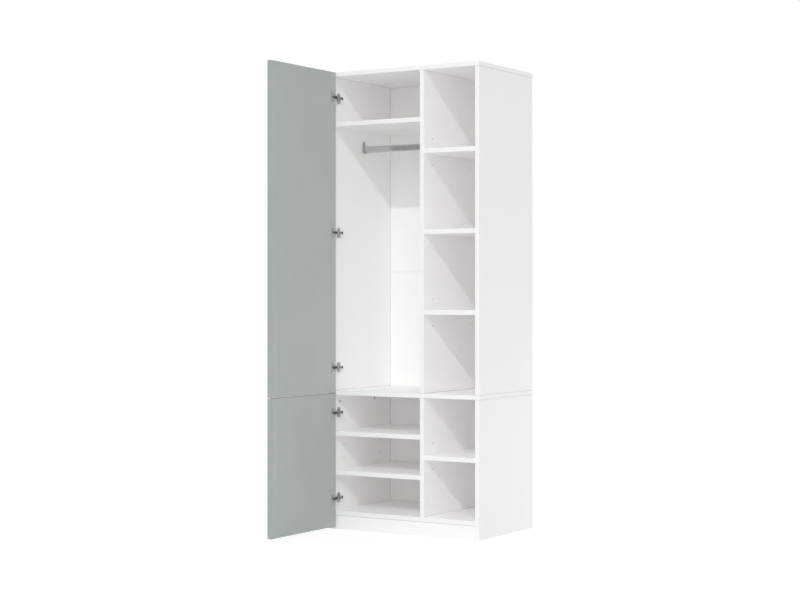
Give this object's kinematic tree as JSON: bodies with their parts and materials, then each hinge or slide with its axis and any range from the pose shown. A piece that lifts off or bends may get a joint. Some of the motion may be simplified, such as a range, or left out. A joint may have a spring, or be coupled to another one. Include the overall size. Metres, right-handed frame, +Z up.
{
  "type": "wardrobe",
  "caption": "Tall white wardrobe with overlay sage doors on concealed hinges over a hanging bay with a clothes rail, and an open column of shelves beside it.",
  "frame": {"origin": "on the floor, under the middle of the case's front plane", "axes": "+X to the right seen from the front, +Y to the back, +Z up; the front faces -Y"},
  "size_m": [0.842, 1.09, 2.24],
  "materials": {
    "white_board": "satin white melamine",
    "white_back": "satin white foil",
    "sage_lacquer": "matt lacquer",
    "beech": "raw",
    "rail_aluminium": "satin",
    "socket_zinc": "satin",
    "zinc_steel": "zinc plated",
    "dark_steel": "burnished",
    "bright_nickel": "bright nickel plated",
    "nickel_steel": "nickel plated"
  },
  "bodies": {
    "case": {"back_screws": "zinc_steel", "bottom_panel": "white_board", "cam_bolts": "zinc_steel", "cam_locks": "zinc_steel", "clothes_rail": "rail_aluminium", "dowels": "beech", "hat_shelf": "white_board", "hinge_arm_pins": "zinc_steel", "hinge_arm_screws": "dark_steel", "hinge_arms": "nickel_steel", "hinge_plate_screws": "zinc_steel", "hinge_plates": "nickel_steel", "lower_back": "white_back", "lower_divider": "white_board", "lower_left_shelf_low": "white_board", "lower_left_shelf_top": "white_board", "lower_right_shelf": "white_board", "lower_side_left": "white_board", "lower_side_right": "white_board", "mid_panel": "white_board", "plinth": "white_board", "rail_screws": "zinc_steel", "rail_sockets": "socket_zinc", "shelf_pins": "zinc_steel", "top_panel": "white_board", "upper_back_high": "white_back", "upper_back_low": "white_back", "upper_divider": "white_board", "upper_shelf_low": "white_board", "upper_shelf_middle": "white_board", "upper_shelf_top": "white_board", "upper_side_left": "white_board", "upper_side_right": "white_board"},
    "upper_links": {"upper_hinge_links": "dark_steel"},
    "lower_links": {"lower_hinge_links": "dark_steel"},
    "upper_door": {"upper_door": "sage_lacquer", "upper_hinge_cup_pins": "zinc_steel", "upper_hinge_cup_screws": "zinc_steel", "upper_hinge_cups": "bright_nickel"},
    "lower_door": {"lower_door": "sage_lacquer", "lower_hinge_cup_pins": "zinc_steel", "lower_hinge_cup_screws": "zinc_steel", "lower_hinge_cups": "bright_nickel"}
  },
  "joints": [
    {"name": "upper_link_swing", "type": "hinge", "parent": "case", "child": "upper_links", "pos_m": [-0.384, 0.00645, 1.453], "axis": [0, 0, 1], "range_deg": [-64, 3.56]},
    {"name": "upper_door_turn", "type": "hinge", "parent": "upper_links", "child": "upper_door", "pos_m": [-0.382, -0.019, 1.453], "axis": [0, 0, 1], "range_deg": [-8.57, 154.01]},
    {"name": "lower_link_swing", "type": "hinge", "parent": "case", "child": "lower_links", "pos_m": [-0.384, 0.00645, 0.359], "axis": [0, 0, 1], "range_deg": [-64, 3.56]},
    {"name": "lower_door_turn", "type": "hinge", "parent": "lower_links", "child": "lower_door", "pos_m": [-0.382, -0.019, 0.359], "axis": [0, 0, 1], "range_deg": [-8.57, 154.01]}
  ],
  "couplings": [
    {"joint": "upper_door_turn", "follows": "upper_link_swing", "ratio": -2.4062},
    {"joint": "lower_door_turn", "follows": "lower_link_swing", "ratio": -2.4062}
  ]
}
